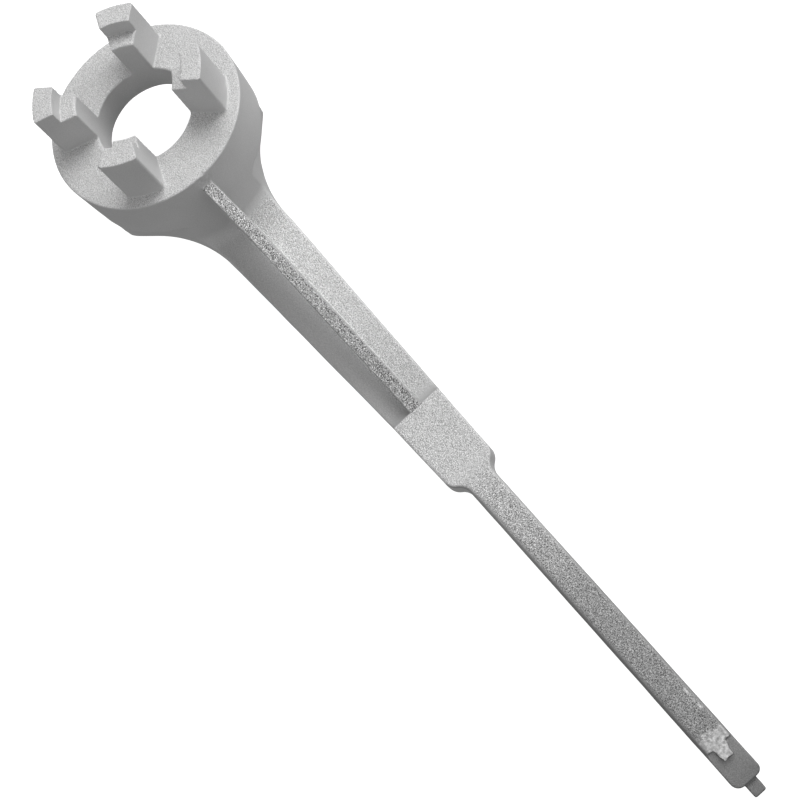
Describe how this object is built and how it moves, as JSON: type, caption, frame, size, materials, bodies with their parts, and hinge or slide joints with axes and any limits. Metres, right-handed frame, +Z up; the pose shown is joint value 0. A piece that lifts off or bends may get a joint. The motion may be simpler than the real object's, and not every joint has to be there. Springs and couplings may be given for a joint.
{
  "type": "drum plug wrench",
  "caption": "Cast aluminium drum plug wrench: ring head with stepped face lugs around a through hole, offset ribbed arm, pad and slim bar handle.",
  "frame": {"origin": "centre of the overall box, on the flat back that the wrench lies on", "axes": "+X along the handle from the ring to the tip, +Z up from the flat back towards the lugs, +Y across the handle"},
  "size_m": [0.374, 0.08, 0.0679],
  "materials": {
    "cast_head": "fine sand-cast",
    "cast_arm": "fine sand-cast",
    "cast_rough": "coarse, trimmed casting edge",
    "cast_handle": "coarse sand-cast, ground bright near the end"
  },
  "bodies": {
    "root": {"ring_plate": "cast_head", "ring_rim": "cast_head", "lug_step_1": "cast_head", "lug_step_2": "cast_head", "lug_step_3": "cast_head", "lug_step_4": "cast_head", "lug_prong_1": "cast_head", "lug_prong_2": "cast_head", "lug_prong_3": "cast_head", "lug_prong_4": "cast_head", "neck_core": "cast_head", "neck_flare_left": "cast_head", "neck_flare_right": "cast_head", "arm_flange": "cast_arm", "arm_rib": "cast_rough", "pad_ramp_left": "cast_arm", "pad_ramp_right": "cast_arm", "grip_pad": "cast_arm", "bar_shoulder": "cast_handle", "handle_bar": "cast_handle", "bar_tip": "cast_handle", "bar_nose": "cast_handle", "pry_tab": "cast_handle"}
  },
  "joints": []
}
